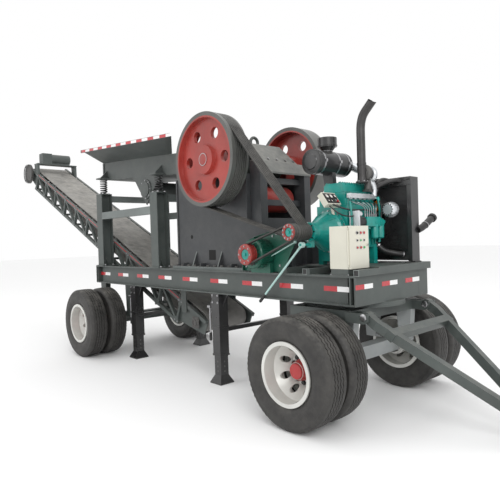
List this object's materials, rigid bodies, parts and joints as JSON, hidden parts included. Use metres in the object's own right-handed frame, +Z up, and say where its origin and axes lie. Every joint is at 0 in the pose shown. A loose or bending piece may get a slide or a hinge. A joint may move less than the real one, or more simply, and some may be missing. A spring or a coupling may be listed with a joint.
{
  "type": "mobile jaw crushing plant",
  "caption": "Wheeled jaw crushing plant: feeder hopper, jaw crusher with flywheels, diesel drive by belts, discharge conveyor, steered dolly, drawbar and winding legs.",
  "frame": {"origin": "on the ground under the middle of the overall length and width", "axes": "+X towards the drawbar, +Z up, -Y the side of the belt drive and control box"},
  "size_m": [10.7732, 2.46, 3.8317],
  "materials": {
    "frame_paint": "satin dark grey-green paint",
    "crusher_paint": "satin dark grey paint",
    "hopper_paint": "satin grey paint, dusty",
    "red_paint": "gloss red paint",
    "black_paint": "semi-gloss black paint",
    "engine_paint": "gloss teal paint on castings",
    "green_paint": "satin dark green paint",
    "cream_paint": "satin cream powder coat",
    "rim_silver": "silver wheel paint",
    "axle_grey": "light grey paint",
    "tyre": "black tyre rubber",
    "belt_rubber": "black belt rubber",
    "conveyor_rubber": "dusty conveyor rubber",
    "cast_iron": "bare casting",
    "steel": "worn bright steel",
    "bare_alu": "cast aluminium",
    "fan_plastic": "moulded orange plastic"
  },
  "bodies": {
    "chassis": {"side_beams": "frame_paint", "cross_members": "frame_paint", "turntable": "frame_paint", "rear_axle": "frame_paint", "leg_sleeves": "black_paint", "stand_posts": "frame_paint", "stand_rails": "frame_paint", "feeder_trough": "hopper_paint", "feed_hopper": "hopper_paint", "feeder_exciter": "hopper_paint", "feeder_springs": "black_paint", "crusher_walls": "crusher_paint", "crusher_front_wall": "crusher_paint", "crusher_rear_frame": "crusher_paint", "jaw_wear_parts": "cast_iron", "pitman": "hopper_paint", "crusher_cover": "hopper_paint", "bearing_housings": "red_paint", "drive_belts": "belt_rubber", "belt_guard": "green_paint", "engine_base": "frame_paint", "engine_block": "engine_paint", "bell_housing": "engine_paint", "radiator": "black_paint", "air_filter": "black_paint", "turbocharger": "bare_alu", "exhaust_stack": "black_paint", "instrument_panel": "cream_paint", "control_box": "cream_paint", "generator": "green_paint", "conveyor_sides": "frame_paint", "conveyor_ties": "frame_paint", "conveyor_props": "frame_paint", "conveyor_belt": "conveyor_rubber", "conveyor_motor": "frame_paint"},
    "flywheel_shaft": {"flywheel_near": "red_paint", "flywheel_far": "red_paint", "eccentric_shaft": "steel"},
    "pto_pulley": {"pto_pulley": "cast_iron"},
    "generator_rotor": {"generator_pulley": "red_paint"},
    "fan": {"fan": "fan_plastic"},
    "front_dolly": {"dolly_frame": "frame_paint", "front_axle": "axle_grey"},
    "drawbar": {"drawbar": "frame_paint"},
    "wheels_front_near": {"tyres_front_near": "tyre", "rims_front_near": "rim_silver"},
    "wheels_front_far": {"tyres_front_far": "tyre", "rims_front_far": "rim_silver"},
    "wheels_rear_near": {"tyres_rear_near": "tyre", "rims_rear_near": "rim_silver"},
    "wheels_rear_far": {"tyres_rear_far": "tyre", "rims_rear_far": "rim_silver"},
    "front_legs": {"front_leg_tubes": "black_paint"},
    "rear_legs": {"rear_leg_tubes": "black_paint"},
    "front_crank": {"front_crank": "steel"},
    "rear_crank": {"rear_crank": "steel"},
    "clutch_lever": {"clutch_lever": "steel"},
    "box_door": {"control_box_door": "cream_paint"},
    "head_drum": {"conveyor_head_drum": "cast_iron"},
    "tail_drum": {"conveyor_tail_drum": "cast_iron"}
  },
  "joints": [
    {"name": "flywheel_turn", "type": "hinge", "parent": "chassis", "child": "flywheel_shaft", "pos_m": [1.84843, 0, 2.73], "axis": [0, 1, 0], "continuous": true},
    {"name": "pto_turn", "type": "hinge", "parent": "chassis", "child": "pto_pulley", "pos_m": [3.24843, -0.7, 1.82], "axis": [0, 1, 0], "continuous": true},
    {"name": "generator_turn", "type": "hinge", "parent": "chassis", "child": "generator_rotor", "pos_m": [2.60343, -0.85, 1.6], "axis": [0, 1, 0], "continuous": true},
    {"name": "fan_turn", "type": "hinge", "parent": "chassis", "child": "fan", "pos_m": [3.27343, 0.345, 1.96], "axis": [0, 1, 0], "continuous": true},
    {"name": "dolly_steer", "type": "hinge", "parent": "chassis", "child": "front_dolly", "pos_m": [3.44843, 0, 1.055], "axis": [0, 0, 1], "range_deg": [-30, 30]},
    {"name": "drawbar_lift", "type": "hinge", "parent": "front_dolly", "child": "drawbar", "pos_m": [3.90843, 0, 1.012], "axis": [0, -1, 0], "range_deg": [0, 45]},
    {"name": "front_near_roll", "type": "hinge", "parent": "front_dolly", "child": "wheels_front_near", "pos_m": [3.44843, -1.09, 0.525], "axis": [0, 1, 0], "continuous": true},
    {"name": "front_far_roll", "type": "hinge", "parent": "front_dolly", "child": "wheels_front_far", "pos_m": [3.44843, 1.09, 0.525], "axis": [0, 1, 0], "continuous": true},
    {"name": "rear_near_roll", "type": "hinge", "parent": "chassis", "child": "wheels_rear_near", "pos_m": [-1.02357, -1.09, 0.525], "axis": [0, 1, 0], "continuous": true},
    {"name": "rear_far_roll", "type": "hinge", "parent": "chassis", "child": "wheels_rear_far", "pos_m": [-1.02357, 1.09, 0.525], "axis": [0, 1, 0], "continuous": true},
    {"name": "front_legs_wind", "type": "slide", "parent": "chassis", "child": "front_legs", "axis": [0, 0, 1], "range_m": [0, 0.235]},
    {"name": "front_crank_swing", "type": "hinge", "parent": "chassis", "child": "front_crank", "pos_m": [1.57343, -0.599, 0.925], "axis": [1, 0, 0], "range_deg": [-60, 60]},
    {"name": "rear_legs_wind", "type": "slide", "parent": "chassis", "child": "rear_legs", "axis": [0, 0, 1], "range_m": [0, 0.235]},
    {"name": "rear_crank_swing", "type": "hinge", "parent": "chassis", "child": "rear_crank", "pos_m": [-0.45657, -0.599, 0.925], "axis": [1, 0, 0], "range_deg": [-60, 60]},
    {"name": "clutch_pull", "type": "hinge", "parent": "chassis", "child": "clutch_lever", "pos_m": [3.24843, -0.7, 1.69], "axis": [0, 1, 0], "range_deg": [-6, 8]},
    {"name": "box_door_open", "type": "hinge", "parent": "chassis", "child": "box_door", "pos_m": [3.78443, -0.666, 1.6575], "axis": [0, 0, -1], "range_deg": [0, 110]},
    {"name": "head_drum_turn", "type": "hinge", "parent": "chassis", "child": "head_drum", "pos_m": [-5.17157, 0, 3.40555], "axis": [0, 1, 0], "continuous": true},
    {"name": "tail_drum_turn", "type": "hinge", "parent": "chassis", "child": "tail_drum", "pos_m": [1.04843, 0, 0.64922], "axis": [0, 1, 0], "continuous": true}
  ],
  "couplings": [
    {"joint": "pto_turn", "follows": "flywheel_turn", "ratio": 6.5116},
    {"joint": "generator_turn", "follows": "flywheel_turn", "ratio": 4.8696},
    {"joint": "fan_turn", "follows": "flywheel_turn", "ratio": 6.5116},
    {"joint": "tail_drum_turn", "follows": "head_drum_turn", "ratio": 1}
  ]
}
